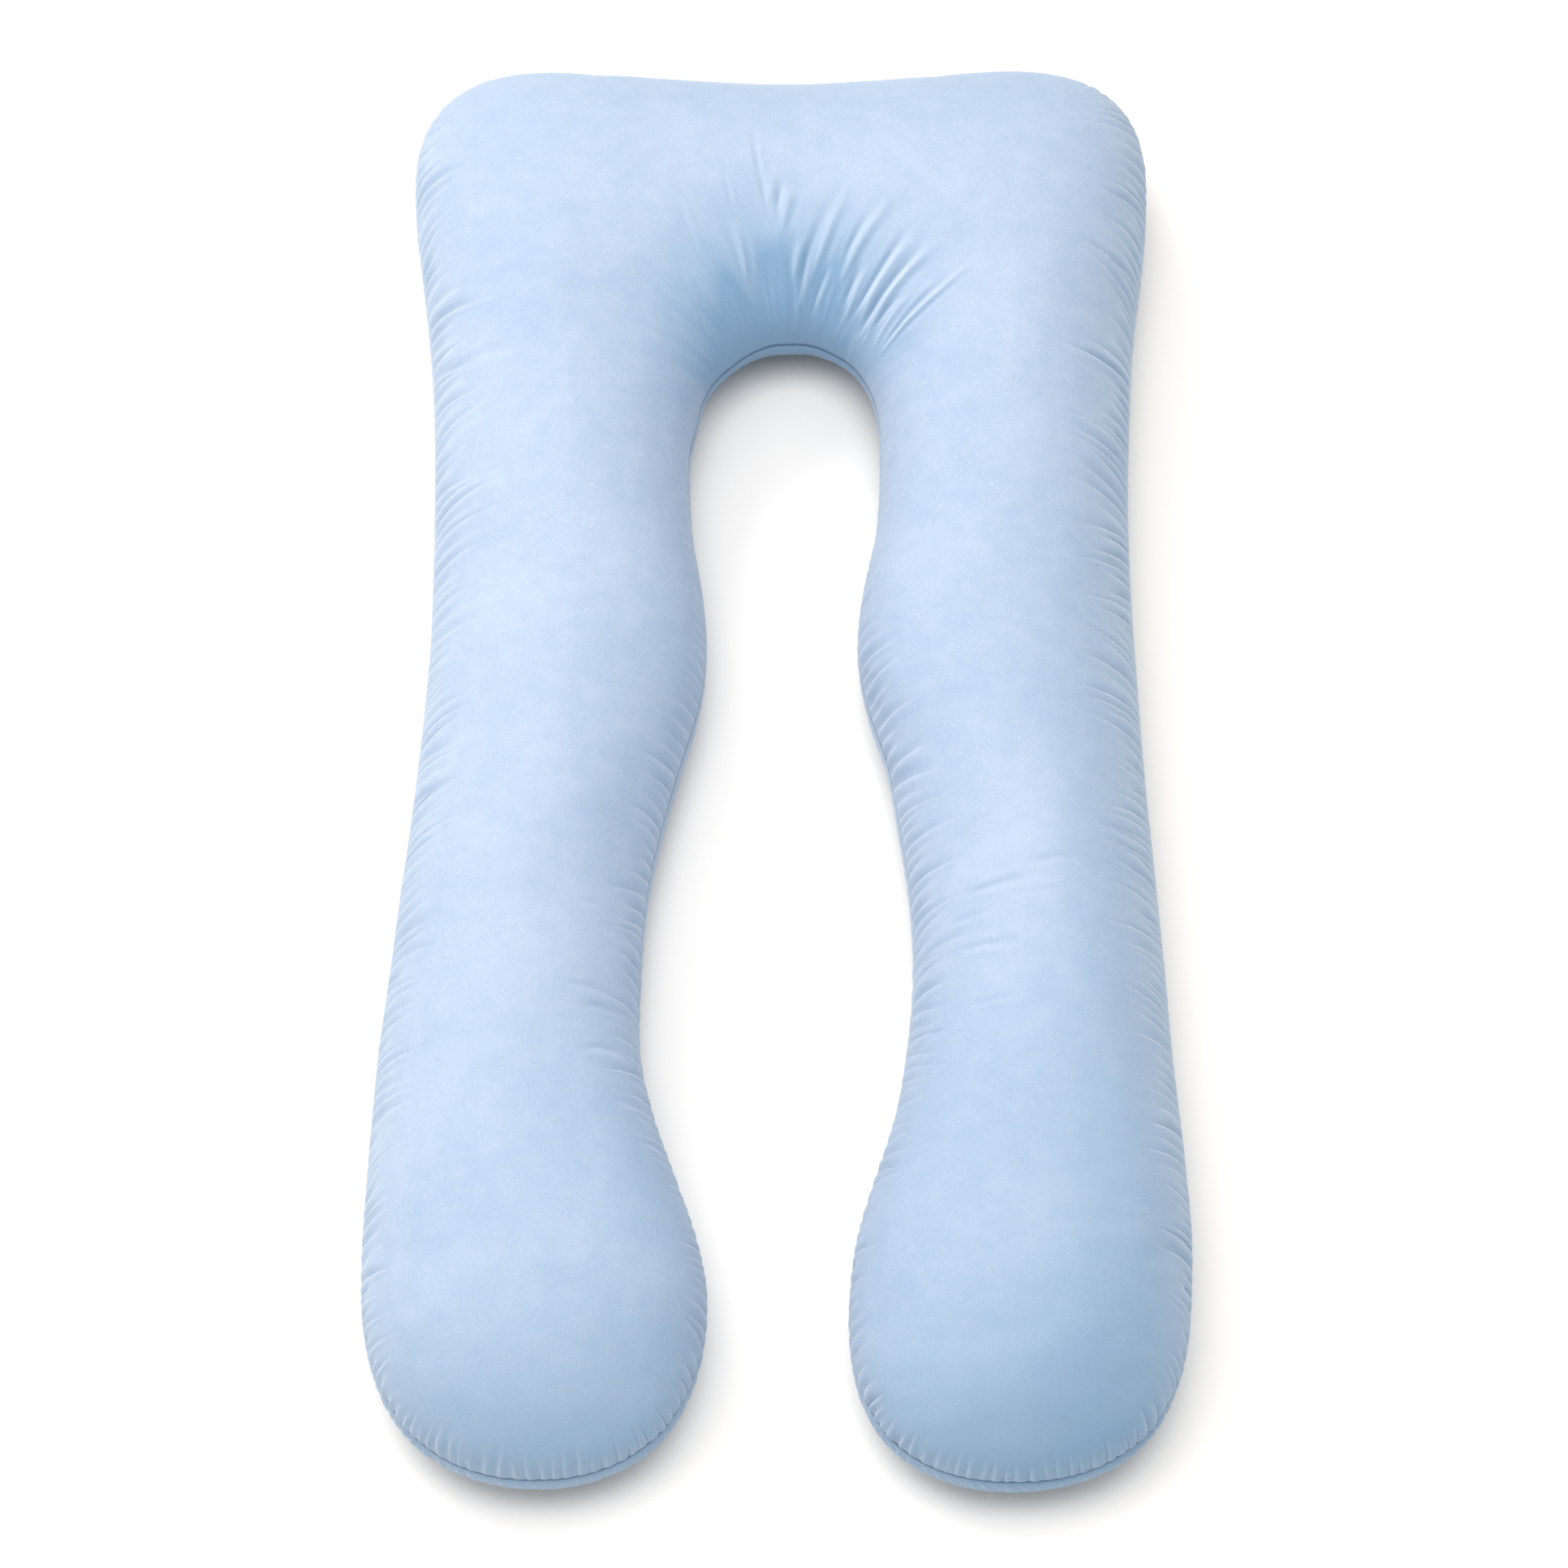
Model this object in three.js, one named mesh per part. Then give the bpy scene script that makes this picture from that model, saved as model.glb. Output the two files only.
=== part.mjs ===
// U-shaped body pillow: two equal cloth panels sewn edge to edge and filled, lying on its back.
// Millimetres, +Z up. The head lies toward +Y and the two legs run toward -Y.
import * as THREE from 'three';

// Driving sizes.
const SEAM_HEIGHT = 90;
const SEAM_DRAW = 3.5;
const SEAM_DRAW_ANGLE = 4;
const TOP_FULLNESS = 2.2;
const BOTTOM_FULLNESS = 2;
const STATION_SPACING = 19;
const CLOTH_COLOUR = 0xb4cdec;

// Cross sections from the left foot, round the head, to the right foot.
// Outer and inner are the two edges of the pillow, crown is the height of its top there, and
// flat is the share of its width that lies flat on the surface.
const SECTIONS = [
  { outerX: -408, outerY: -591, innerX: -73, innerY: -591, crown: 206, flat: 0.50 },
  { outerX: -408, outerY: -541, innerX: -84, innerY: -541, crown: 205, flat: 0.50 },
  { outerX: -406, outerY: -481, innerX: -104, innerY: -481, crown: 202, flat: 0.50 },
  { outerX: -403, outerY: -411, innerX: -127, innerY: -411, crown: 196, flat: 0.50 },
  { outerX: -399, outerY: -341, innerX: -141, innerY: -341, crown: 190, flat: 0.50 },
  { outerX: -391, outerY: -261, innerX: -141, innerY: -261, crown: 187, flat: 0.50 },
  { outerX: -384, outerY: -181, innerX: -136, innerY: -181, crown: 187, flat: 0.50 },
  { outerX: -376, outerY: -101, innerX: -122, innerY: -101, crown: 188, flat: 0.50 },
  { outerX: -369, outerY: -21, innerX: -102, innerY: -21, crown: 190, flat: 0.50 },
  { outerX: -364, outerY: 51, innerX: -84, innerY: 46, crown: 192, flat: 0.50 },
  { outerX: -360, outerY: 131, innerX: -78, innerY: 111, crown: 193, flat: 0.50 },
  { outerX: -360, outerY: 219, innerX: -83, innerY: 179, crown: 193, flat: 0.50 },
  { outerX: -361, outerY: 309, innerX: -93, innerY: 239, crown: 193, flat: 0.50 },
  { outerX: -364, outerY: 399, innerX: -97, innerY: 292, crown: 194, flat: 0.48 },
  { outerX: -371, outerY: 484, innerX: -97, innerY: 337, crown: 196, flat: 0.44 },
  { outerX: -381, outerY: 566, innerX: -90, innerY: 371, crown: 199, flat: 0.38 },
  { outerX: -391, outerY: 651, innerX: -83, innerY: 405, crown: 202, flat: 0.30 },
  { outerX: -384, outerY: 730, innerX: -69, innerY: 431, crown: 203, flat: 0.24 },
  { outerX: -344, outerY: 783, innerX: -53, innerY: 447, crown: 202, flat: 0.18 },
  { outerX: -282, outerY: 801, innerX: -38, innerY: 460, crown: 198, flat: 0.13 },
  { outerX: -205, outerY: 803, innerX: -24, innerY: 468, crown: 192, flat: 0.09 },
  { outerX: -105, outerY: 797, innerX: -10, innerY: 473, crown: 186, flat: 0.06 },
  { outerX: 0, outerY: 792, innerX: 4, innerY: 474, crown: 184, flat: 0.05 },
  { outerX: 105, outerY: 797, innerX: 18, innerY: 474, crown: 186, flat: 0.06 },
  { outerX: 205, outerY: 804, innerX: 33, innerY: 471, crown: 192, flat: 0.09 },
  { outerX: 281, outerY: 802, innerX: 48, innerY: 463, crown: 198, flat: 0.13 },
  { outerX: 341, outerY: 782, innerX: 64, innerY: 453, crown: 202, flat: 0.18 },
  { outerX: 377, outerY: 730, innerX: 79, innerY: 435, crown: 203, flat: 0.24 },
  { outerX: 384, outerY: 651, innerX: 92, innerY: 407, crown: 202, flat: 0.30 },
  { outerX: 376, outerY: 566, innerX: 98, innerY: 375, crown: 199, flat: 0.38 },
  { outerX: 365, outerY: 484, innerX: 99, innerY: 340, crown: 196, flat: 0.44 },
  { outerX: 359, outerY: 399, innerX: 98, innerY: 292, crown: 194, flat: 0.48 },
  { outerX: 355, outerY: 309, innerX: 93, innerY: 239, crown: 193, flat: 0.50 },
  { outerX: 354, outerY: 219, innerX: 80, innerY: 179, crown: 193, flat: 0.50 },
  { outerX: 356, outerY: 131, innerX: 74, innerY: 111, crown: 193, flat: 0.50 },
  { outerX: 359, outerY: 51, innerX: 82, innerY: 46, crown: 192, flat: 0.50 },
  { outerX: 362, outerY: -21, innerX: 102, innerY: -21, crown: 190, flat: 0.50 },
  { outerX: 367, outerY: -101, innerX: 115, innerY: -101, crown: 188, flat: 0.50 },
  { outerX: 372, outerY: -181, innerX: 125, innerY: -181, crown: 187, flat: 0.50 },
  { outerX: 377, outerY: -261, innerX: 127, innerY: -261, crown: 187, flat: 0.50 },
  { outerX: 381, outerY: -341, innerX: 120, innerY: -341, crown: 190, flat: 0.50 },
  { outerX: 387, outerY: -411, innerX: 108, innerY: -411, crown: 196, flat: 0.50 },
  { outerX: 392, outerY: -481, innerX: 87, innerY: -481, crown: 202, flat: 0.50 },
  { outerX: 395, outerY: -546, innerX: 68, innerY: -546, crown: 205, flat: 0.50 },
  { outerX: 392, outerY: -606, innerX: 62, innerY: -606, crown: 206, flat: 0.50 },
];

// The two round feet, each past the first or last section: how far it reaches, how far its
// tip leans to one side, and the power that makes its outline fuller than an ellipse.
const LEFT_FOOT = { reach: 203, lean: 5, power: 2.3 };
const RIGHT_FOOT = { reach: 190, lean: -9, power: 2.4 };

// Angles round a half section from one seam to the other, close together at the seams.
const ACROSS_ANGLES = [0, 4, 13, 26, 40, 56, 73, 90, 107, 124, 140, 154, 167, 176, 180];
const FOOT_FIRST_ANGLE = 4;
const FOOT_ROWS = 12;

// Puckers that the gathered seam throws up on both panels.
const PUCKER_HEIGHT = 3.4;
const PUCKER_ANGLE = 19;
const PUCKER_SPREAD = 20;
const PUCKER_HOLLOW = 0.7;
const LOWER_PUCKER_SHARE = 0.6;

// Single folds raised on the top panel, as straight ridges with tapered ends.
const FOLDS = [
  { fromX: -6, fromY: 556, toX: 9, toY: 630, height: 4, width: 10 },
  { fromX: 28, fromY: 535, toX: 54, toY: 610, height: 4.5, width: 10 },
  { fromX: 60, fromY: 512, toX: 100, toY: 574, height: 5, width: 11 },
  { fromX: 84, fromY: 478, toX: 146, toY: 540, height: 5.5, width: 12 },
  { fromX: 106, fromY: 437, toX: 174, toY: 496, height: 5, width: 12 },
  { fromX: -32, fromY: 545, toX: -33, toY: 672, height: 3, width: 10 },
  { fromX: -58, fromY: 520, toX: -86, toY: 590, height: 3.5, width: 11 },
  { fromX: -90, fromY: 480, toX: -132, toY: 537, height: 3, width: 12 },
  { fromX: 215, fromY: -183, toX: 292, toY: -174, height: 3, width: 9 },
  { fromX: 162, fromY: -218, toX: 260, toY: -194, height: 4, width: 9 },
  { fromX: 132, fromY: -274, toX: 205, toY: -246, height: 4.5, width: 10 },
  { fromX: 170, fromY: -280, toX: 285, toY: -266, height: 3, width: 9 },
  { fromX: 156, fromY: -342, toX: 236, toY: -328, height: 3, width: 9 },
  { fromX: 122, fromY: -372, toX: 190, toY: -352, height: 4, width: 10 },
  { fromX: 176, fromY: 265, toX: 240, toY: 270, height: 2.5, width: 9 },
  { fromX: -242, fromY: -304, toX: -176, toY: -308, height: 3.5, width: 10 },
  { fromX: -216, fromY: -336, toX: -148, toY: -334, height: 4, width: 10 },
  { fromX: -220, fromY: -390, toX: -142, toY: -372, height: 4, width: 10 },
  { fromX: -356, fromY: 410, toX: -268, toY: 406, height: 3.5, width: 11 },
  { fromX: -354, fromY: 240, toX: -306, toY: 250, height: 3, width: 10 },
];

const radians = THREE.MathUtils.degToRad;

// How far an ellipse-like arch has risen at a share of its half width; fuller is boxier.
function arch(share, fullness) {
  return Math.pow(Math.max(0, 1 - Math.pow(share, fullness)), 1 / fullness);
}

// A fixed, uneven number from 0 to 1 for each whole number.
function uneven(index) {
  const wave = Math.sin(index * 12.9898) * 43758.5453;
  return wave - Math.floor(wave);
}

// The top rises from the seam as an arch.
function topHeight(share, crown) {
  return SEAM_HEIGHT + (crown - SEAM_HEIGHT) * arch(share, TOP_FULLNESS);
}

// The bottom bulges down from the seam and lies flat over its middle.
function bottomHeight(share, flat) {
  const beyondFlat = Math.max(0, share - flat) / (1 - flat);
  return SEAM_HEIGHT * (1 - arch(beyondFlat, BOTTOM_FULLNESS));
}

// One section: its middle, the way from the middle to the inner edge, its crown and flat.
function makeSection(outer, inner) {
  const middle = new THREE.Vector2(outer.x + inner.x, outer.y + inner.y).multiplyScalar(0.5);
  const half = new THREE.Vector2(inner.x - outer.x, inner.y - outer.y).multiplyScalar(0.5);
  return { middle, half, crown: outer.z, flat: inner.z };
}

// Even stations between the two feet, on smooth curves through the table's rows.
function bodySections() {
  const outerEdge = SECTIONS.map((row) => new THREE.Vector3(row.outerX, row.outerY, row.crown));
  const innerEdge = SECTIONS.map((row) => new THREE.Vector3(row.innerX, row.innerY, row.flat));
  const middle = outerEdge.map((point, k) => point.clone().lerp(innerEdge[k], 0.5));
  const outerCurve = new THREE.CatmullRomCurve3(outerEdge);
  const innerCurve = new THREE.CatmullRomCurve3(innerEdge);
  const middleCurve = new THREE.CatmullRomCurve3(middle);
  const steps = Math.round(middleCurve.getLength() / STATION_SPACING);
  const sections = [];
  for (let step = 0; step <= steps; step += 1) {
    const along = middleCurve.getUtoTmapping(step / steps);
    sections.push(makeSection(outerCurve.getPoint(along), innerCurve.getPoint(along)));
  }
  return sections;
}

// Angles of a foot's rows, from its tip seam to the section that it grows from.
function footAngles() {
  const step = (90 - FOOT_FIRST_ANGLE) / FOOT_ROWS;
  const angles = [0];
  for (let row = 0; row <= FOOT_ROWS; row += 1) {
    angles.push(FOOT_FIRST_ANGLE + row * step);
  }
  return angles;
}

// Where a point of the square grid lies on a foot: a square spread over half a disc, so that
// the last row of the grid is the seam round the tip.
function footPoint(section, foot, across, along) {
  const discX = across * Math.sqrt(1 - (along * along) / 2);
  const discY = along * Math.sqrt(1 - (across * across) / 2);
  const share = Math.hypot(discX, discY);
  let stretch = 1;
  if (share > 0) {
    const sum = Math.pow(Math.abs(discX) / share, foot.power)
      + Math.pow(discY / share, foot.power);
    stretch = Math.pow(sum, -1 / foot.power);
  }
  const out = discY * stretch;
  const x = section.middle.x + section.half.x * discX * stretch + foot.lean * out;
  return { x, y: section.middle.y - foot.reach * out, share: Math.min(share, 1) };
}

// The height of a fold ridge at a point of the top panel.
function foldHeight(x, y) {
  let height = 0;
  for (const fold of FOLDS) {
    const runX = fold.toX - fold.fromX;
    const runY = fold.toY - fold.fromY;
    const length = Math.hypot(runX, runY);
    const along = ((x - fold.fromX) * runX + (y - fold.fromY) * runY) / (length * length);
    const aside = ((x - fold.fromX) * runY - (y - fold.fromY) * runX) / length;
    if (along > 0 && along < 1) {
      const ridge = Math.exp(-Math.pow(aside / fold.width, 2));
      height += fold.height * Math.sin(Math.PI * along) * ridge;
    }
  }
  return height;
}

// How strongly the puckers show at an angle from the seam.
function puckerShare(angle) {
  return angle > 0 ? Math.exp(-Math.pow((angle - PUCKER_ANGLE) / PUCKER_SPREAD, 2)) : 0;
}

// Puckers stand up and sink in turn along a seam, each by its own amount.
function puckerAt(index) {
  const rise = index % 2 === 0 ? 1 : -PUCKER_HOLLOW;
  return PUCKER_HEIGHT * rise * (0.45 + 0.55 * uneven(index));
}

// All rows of the grid, from the tip of the left foot to the tip of the right one.
function gridRows() {
  const sections = bodySections();
  const first = sections[0];
  const last = sections[sections.length - 1];
  const feet = footAngles();
  const rows = feet.map((angle) => ({ angle, section: first, foot: LEFT_FOOT }));
  rows.pop();
  for (const section of sections) {
    rows.push({ angle: 90, section, foot: null });
  }
  for (const angle of feet.slice(0, -1).reverse()) {
    rows.push({ angle, section: last, foot: RIGHT_FOOT });
  }
  return rows;
}

// Place of a grid point on the top or bottom panel, with the seam drawn in.
function panelPoint(row, acrossAngle, isTop) {
  const across = -Math.cos(radians(acrossAngle));
  const { middle, half, crown, flat } = row.section;
  let place = { x: middle.x + half.x * across, y: middle.y + half.y * across };
  place.share = Math.abs(across);
  if (row.foot) {
    place = footPoint(row.section, row.foot, across, Math.cos(radians(row.angle)));
  }
  const fromSeam = Math.min(acrossAngle, 180 - acrossAngle, row.angle);
  const draw = SEAM_DRAW * Math.exp(-Math.pow(fromSeam / SEAM_DRAW_ANGLE, 2));
  const toMiddle = new THREE.Vector2(middle.x - place.x, middle.y - place.y);
  toMiddle.setLength(draw);
  const z = isTop ? topHeight(place.share, crown) : bottomHeight(place.share, flat);
  return new THREE.Vector3(place.x + toMiddle.x, place.y + toMiddle.y, z);
}

// How far the cloth is raised above the smooth shape at a grid point.
function clothLift(row, rowIndex, column, point, isTop) {
  const angle = ACROSS_ANGLES[column];
  const fromSide = Math.min(angle, 180 - angle);
  if (fromSide === 0 || row.angle === 0) {
    return 0;
  }
  const sideSeed = angle < 90 ? rowIndex : rowIndex + 500;
  let side = puckerShare(fromSide) * puckerAt(sideSeed);
  let tip = 0;
  if (row.foot) {
    side *= Math.sin(radians(row.angle));
    tip = puckerShare(row.angle) * puckerAt(column + 900) * Math.sin(radians(fromSide));
  }
  const pucker = side + tip;
  return isTop ? pucker + foldHeight(point.x, point.y) : pucker * LOWER_PUCKER_SHARE;
}

// The filled pillow: a top and a bottom grid that share the seam all the way round.
function pillowGeometry() {
  const rows = gridRows();
  const columns = ACROSS_ANGLES.length;
  const positions = [];
  const lifts = [];
  const addPoint = (rowIndex, column, isTop) => {
    const row = rows[rowIndex];
    const point = panelPoint(row, ACROSS_ANGLES[column], isTop);
    positions.push(point.x, point.y, point.z);
    lifts.push(clothLift(row, rowIndex, column, point, isTop));
    return lifts.length - 1;
  };
  const top = [];
  const bottom = [];
  for (let r = 0; r < rows.length; r += 1) {
    top.push([]);
    bottom.push([]);
    for (let c = 0; c < columns; c += 1) {
      const onSeam = c === 0 || c === columns - 1 || r === 0 || r === rows.length - 1;
      top[r].push(addPoint(r, c, true));
      bottom[r].push(onSeam ? top[r][c] : addPoint(r, c, false));
    }
  }

  // Each quad is split on the diagonal that starts at the nearest corner of the grid.
  const indices = [];
  for (let r = 0; r < rows.length - 1; r += 1) {
    for (let c = 0; c < columns - 1; c += 1) {
      const rising = (r < rows.length / 2) === (c < (columns - 1) / 2);
      for (const [grid, flip] of [[top, true], [bottom, false]]) {
        const corners = [grid[r][c], grid[r][c + 1], grid[r + 1][c + 1], grid[r + 1][c]];
        const [a, b, d, e] = corners;
        const pair = rising ? [[a, d, b], [a, e, d]] : [[a, e, b], [b, e, d]];
        for (const triangle of pair) {
          indices.push(...(flip ? triangle.reverse() : triangle));
        }
      }
    }
  }

  const geometry = new THREE.BufferGeometry();
  geometry.setAttribute('position', new THREE.Float32BufferAttribute(positions, 3));
  geometry.setIndex(indices);
  geometry.computeVertexNormals();
  raiseCloth(geometry, lifts);
  return geometry;
}

// Moves each point out along its normal, and keeps what rests on the surface flat on it.
function raiseCloth(geometry, lifts) {
  const place = geometry.attributes.position;
  const normal = geometry.attributes.normal;
  for (let k = 0; k < lifts.length; k += 1) {
    const rests = place.getZ(k) < 1;
    const lift = rests ? 0 : lifts[k];
    const z = rests ? 0 : Math.max(0, place.getZ(k) + normal.getZ(k) * lift);
    place.setXYZ(k, place.getX(k) + normal.getX(k) * lift, place.getY(k) + normal.getY(k) * lift, z);
  }
  geometry.computeVertexNormals();
}

// The pillow, centred on the middle of its length and width.
const geometry = pillowGeometry();
geometry.computeBoundingBox();
const centre = geometry.boundingBox.getCenter(new THREE.Vector3());
geometry.translate(-centre.x, -centre.y, 0);

const cloth = new THREE.MeshStandardMaterial({ color: CLOTH_COLOUR, roughness: 0.9, metalness: 0 });
const pillow = new THREE.Mesh(geometry, cloth);
pillow.name = 'pillow';

const bodyPillow = new THREE.Group();
bodyPillow.add(pillow);

export default bodyPillow;
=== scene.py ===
import math

import bmesh
import bpy
import numpy as np
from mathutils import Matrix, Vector, noise
from mathutils.kdtree import KDTree


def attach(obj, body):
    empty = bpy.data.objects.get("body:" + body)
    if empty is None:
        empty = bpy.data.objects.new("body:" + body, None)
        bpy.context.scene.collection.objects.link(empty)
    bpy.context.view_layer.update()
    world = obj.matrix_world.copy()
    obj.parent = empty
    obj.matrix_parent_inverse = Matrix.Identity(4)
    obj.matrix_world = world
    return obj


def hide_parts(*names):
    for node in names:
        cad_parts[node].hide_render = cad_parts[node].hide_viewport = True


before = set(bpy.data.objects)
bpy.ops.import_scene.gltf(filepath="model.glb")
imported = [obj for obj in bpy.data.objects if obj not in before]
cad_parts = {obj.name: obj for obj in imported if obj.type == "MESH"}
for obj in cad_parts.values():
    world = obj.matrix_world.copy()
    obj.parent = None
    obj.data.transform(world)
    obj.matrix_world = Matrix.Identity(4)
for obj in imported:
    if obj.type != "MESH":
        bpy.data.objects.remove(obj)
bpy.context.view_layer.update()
scene = bpy.context.scene


# The camera looks down at the pillow from beyond its feet, as a photographer
# on a ladder would, with a long lens so that the two legs stay almost parallel.
camera_height = math.radians(62)
camera_distance = 6.0
camera_target = Vector((0.0065, -0.0495, 0.090))
camera_back = Vector((0, -math.cos(camera_height), math.sin(camera_height)))

camera_data = bpy.data.cameras.new("camera")
camera_data.sensor_width = 36
camera_data.lens = 137.07
camera_data.clip_end = 50
camera = bpy.data.objects.new("camera", camera_data)
camera.location = camera_target + camera_back * camera_distance
camera.rotation_euler = (math.pi / 2 - camera_height, 0, 0)
scene.collection.objects.link(camera)
scene.camera = camera


# The pillow is two U-shaped panels of brushed plush, sewn face to face all round, turned
# right side out and blown full of fibre. Filled, it swells to a fat tube that is flat only
# where it lies, and the seam, shorter than the cloth it holds, gathers both panels.
seam_height = 0.090
start_smaller = 0.004
cloth_cap = 0.011

panel_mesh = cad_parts["pillow"].data.copy()
panel_mesh.name = "pillow_cover"
panels = bmesh.new()
panels.from_mesh(panel_mesh)
bmesh.ops.remove_doubles(panels, verts=panels.verts, dist=0.00001)
bmesh.ops.join_triangles(
    panels, faces=panels.faces, angle_face_threshold=math.pi, angle_shape_threshold=math.pi
)


def on_seam(vertex):
    return abs(vertex.co.z - seam_height) < 0.00001


# The solid's own coarse puckers are eased out first, along the seam and then all ways, so that
# finer ones can take their place. What easing takes from the form itself is given back.
panels.verts.index_update()
off_seam = [v for v in panels.verts if not on_seam(v) and v.co.z > 0.001]
seam_edges = [e for e in panels.edges if on_seam(e.verts[0]) and on_seam(e.verts[1])]
nearest_edge = KDTree(len(seam_edges))
for number, edge in enumerate(seam_edges):
    nearest_edge.insert((edge.verts[0].co + edge.verts[1].co) / 2, number)
nearest_edge.balance()
followers = []
for vertex in off_seam:
    edge = seam_edges[nearest_edge.find(vertex.co)[1]]
    ahead = (edge.verts[1].co - edge.verts[0].co).normalized()
    ways = [(e.other_vert(vertex), e.other_vert(vertex).co - vertex.co) for e in vertex.link_edges]
    in_line = [other.index for other, way in ways if abs(way.normalized() @ ahead) > 0.8]
    if len(in_line) == 2:
        followers.append((vertex.index, in_line[0], in_line[1]))
own, ahead_of, behind = np.array(followers).T


def eased(values):
    for repeat in range(2):
        values = values.copy()
        values[own] = values[own] / 2 + (values[ahead_of] + values[behind]) / 4
    return values


coarse = np.array([vertex.co for vertex in panels.verts])
even = eased(coarse)
even += eased(coarse - even)
for vertex, where in zip(panels.verts, even):
    vertex.co = where
bmesh.ops.smooth_vert(
    panels, verts=off_seam, factor=0.5, use_axis_x=True, use_axis_y=True, use_axis_z=True
)

# The seam is a crease, and the cloth simulation holds it and what lies on the floor.
crease = panels.edges.layers.float.new("crease_edge")
held = panels.verts.layers.deform.new()
for edge in panels.edges:
    edge[crease] = float(on_seam(edge.verts[0]) and on_seam(edge.verts[1]))
for vertex in panels.verts:
    if on_seam(vertex) or vertex.co.z < 0.001:
        vertex[held][0] = 1.0
for face in panels.faces:
    face.smooth = True
panels.to_mesh(panel_mesh)
panels.free()

pillow = bpy.data.objects.new("pillow_cover", panel_mesh)
scene.collection.objects.link(pillow)
pillow.vertex_groups.new(name="held")
pillow.data.materials.clear()


def positions(mesh):
    found = np.empty(len(mesh.vertices) * 3)
    mesh.vertices.foreach_get("co", found)
    return found.reshape(-1, 3)


def normals(mesh):
    found = np.empty(len(mesh.vertices) * 3)
    mesh.vertices.foreach_get("normal", found)
    return found.reshape(-1, 3)


def place(mesh, where):
    mesh.vertices.foreach_set("co", where.ravel())
    mesh.update()


def rounded(piece, levels):
    rounding = piece.modifiers.new("rounding", "SUBSURF")
    rounding.levels = rounding.render_levels = levels
    rounding.use_limit_surface = False
    graph = bpy.context.evaluated_depsgraph_get()
    finer = bpy.data.meshes.new_from_object(
        piece.evaluated_get(graph), preserve_all_data_layers=True, depsgraph=graph
    )
    piece.modifiers.clear()
    return finer


# Rounding draws a surface in from its corners, so the corners are first pushed out by as much.
def subdivide(piece, levels):
    corners = positions(piece.data)
    drawn_in = positions(rounded(piece, levels))[: len(corners)] - corners
    length = np.linalg.norm(drawn_in, axis=1, keepdims=True)
    drawn_in *= np.minimum(1, 0.0015 / np.maximum(length, 0.000001))
    place(piece.data, corners - drawn_in)
    piece.data = rounded(piece, levels)


subdivide(pillow, 1)

# Blown up by pressure from a slightly smaller shape, so that the fibre fills it unevenly.
filled = positions(pillow.data)
weights = np.array([v.groups[0].weight if v.groups else 0.0 for v in pillow.data.vertices])
slack = filled - normals(pillow.data) * (start_smaller * (1 - weights))[:, None]
place(pillow.data, slack)
cloth = pillow.modifiers.new("filling", "CLOTH")
cloth.settings.quality = 5
cloth.settings.mass = 0.3
cloth.settings.tension_stiffness = 15
cloth.settings.compression_stiffness = 15
cloth.settings.shear_stiffness = 5
cloth.settings.bending_stiffness = 0.5
cloth.settings.vertex_group_mass = "held"
cloth.settings.use_pressure = True
cloth.settings.uniform_pressure_force = 4
cloth.settings.effector_weights.gravity = 0
cloth.collision_settings.use_collision = False
cloth.collision_settings.use_self_collision = False
cloth.point_cache.frame_start = 1
cloth.point_cache.frame_end = 20
for step in range(1, 21):
    scene.frame_set(step)
graph = bpy.context.evaluated_depsgraph_get()
blown = positions(pillow.evaluated_get(graph).data)
move = blown - slack
distance = np.linalg.norm(move, axis=1, keepdims=True)
move *= np.minimum(1, cloth_cap / np.maximum(distance, 0.000001))
pillow.modifiers.clear()
scene.frame_set(1)
place(pillow.data, slack + move)

subdivide(pillow, 2)


# The seam's own line, end to end, gives every point of the cloth its place along the seam
# and its distance from it.
def seam_loop(mesh):
    where = positions(mesh)
    joined = np.empty(len(mesh.edges) * 2, np.int32)
    mesh.edges.foreach_get("vertices", joined)
    joined = joined.reshape(-1, 2)
    level = np.abs(where[:, 2] - seam_height) < 0.00001
    creased = np.empty(len(mesh.edges), np.float32)
    mesh.attributes["crease_edge"].data.foreach_get("value", creased)
    beside = {}
    for a, b in joined[(creased > 0.5) & level[joined].all(axis=1)]:
        beside.setdefault(int(a), []).append(int(b))
        beside.setdefault(int(b), []).append(int(a))
    start = min(beside)
    loop = [start, beside[start][0]]
    while loop[-1] != start:
        a, b = beside[loop[-1]]
        loop.append(b if a == loop[-2] else a)
    return where[loop]


seam_line = seam_loop(pillow.data)
seam_steps = np.linalg.norm(np.diff(seam_line, axis=0), axis=1)
seam_places = np.concatenate([[0], np.cumsum(seam_steps)])
seam_length = seam_places[-1]
sample_places = np.arange(0, seam_length, 0.001)
seam_samples = np.column_stack(
    [np.interp(sample_places, seam_places, seam_line[:, axis]) for axis in range(3)]
)
seam_ahead = np.roll(seam_samples, -3, axis=0) - np.roll(seam_samples, 3, axis=0)
seam_ahead /= np.linalg.norm(seam_ahead, axis=1, keepdims=True)
seam_tree = KDTree(len(seam_samples))
for number, sample in enumerate(seam_samples):
    seam_tree.insert(sample, number)
seam_tree.balance()


def seam_measures(where):
    nearest = np.array([seam_tree.find(point)[1] for point in where])
    past_sample = where - seam_samples[nearest]
    ahead = seam_ahead[nearest]
    onward = np.sum(past_sample * ahead, axis=1)
    aside = np.linalg.norm(past_sample - onward[:, None] * ahead, axis=1)
    return nearest, sample_places[nearest] + onward, aside


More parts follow.
